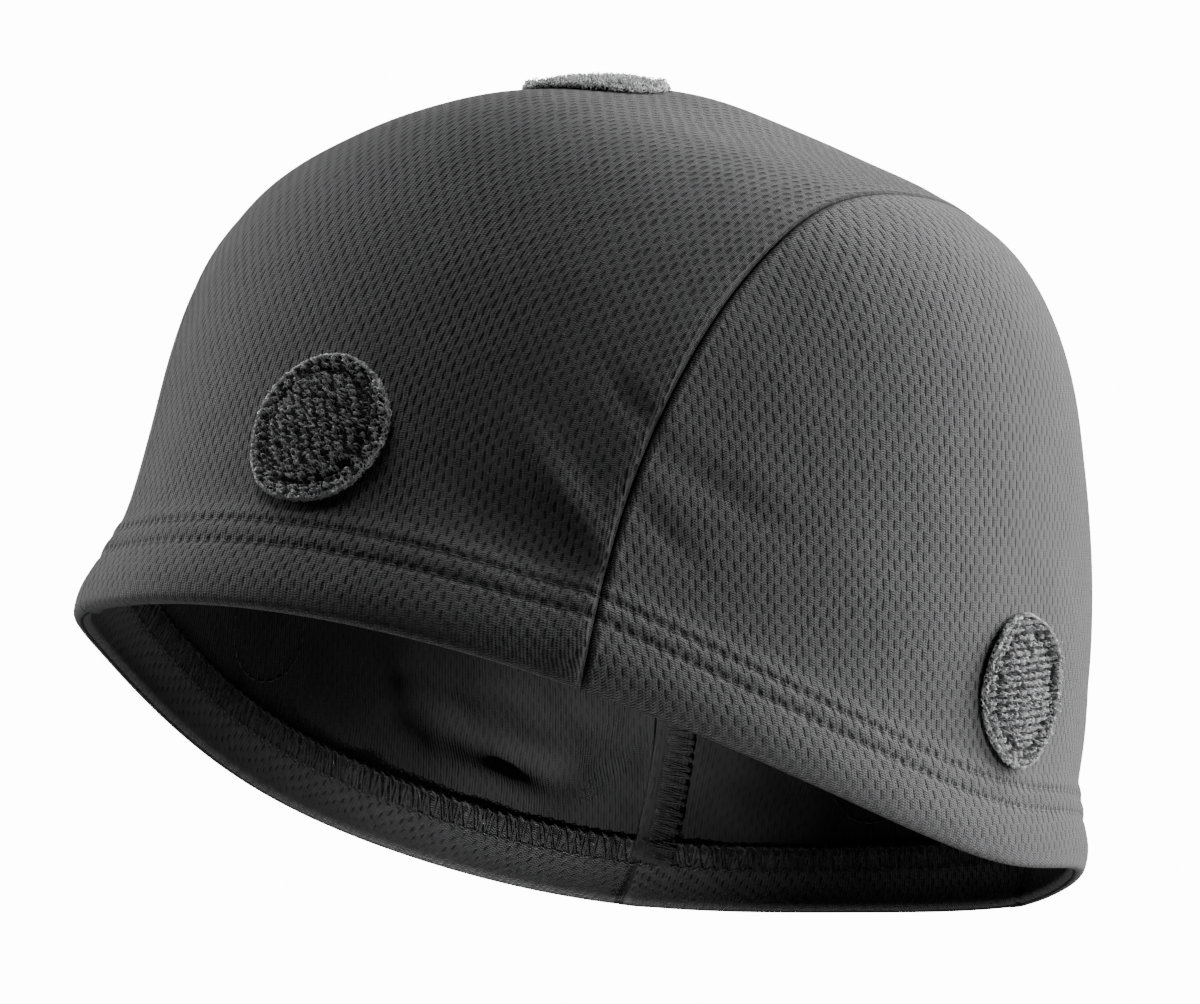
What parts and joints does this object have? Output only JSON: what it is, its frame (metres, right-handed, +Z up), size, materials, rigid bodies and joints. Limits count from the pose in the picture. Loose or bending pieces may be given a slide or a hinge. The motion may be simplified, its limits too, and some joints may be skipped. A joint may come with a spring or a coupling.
{
  "type": "helmet liner cap",
  "caption": "Close-fitting knit cap with a centre panel, side panels, a turned-up hem and round loop patches, worn under a helmet.",
  "frame": {"origin": "on the inside of the crown, under the middle of the top patch, where the wearer's head carries the cap", "axes": "+Z up as on an upright head, -Y towards the wearer's face, +X towards the wearer's left"},
  "size_m": [0.1625, 0.2017, 0.1505],
  "materials": {
    "mesh_knit": "matte charcoal birdseye mesh knit",
    "loop_pile": "fuzzy charcoal loop pile",
    "stitching": "matte black polyester thread"
  },
  "bodies": {
    "root": {"centre_panel": "mesh_knit", "side_panel_left": "mesh_knit", "side_panel_right": "mesh_knit", "patch_top": "loop_pile", "patch_front": "loop_pile", "patch_back": "loop_pile", "patch_left": "loop_pile", "patch_right": "loop_pile"}
  },
  "joints": []
}
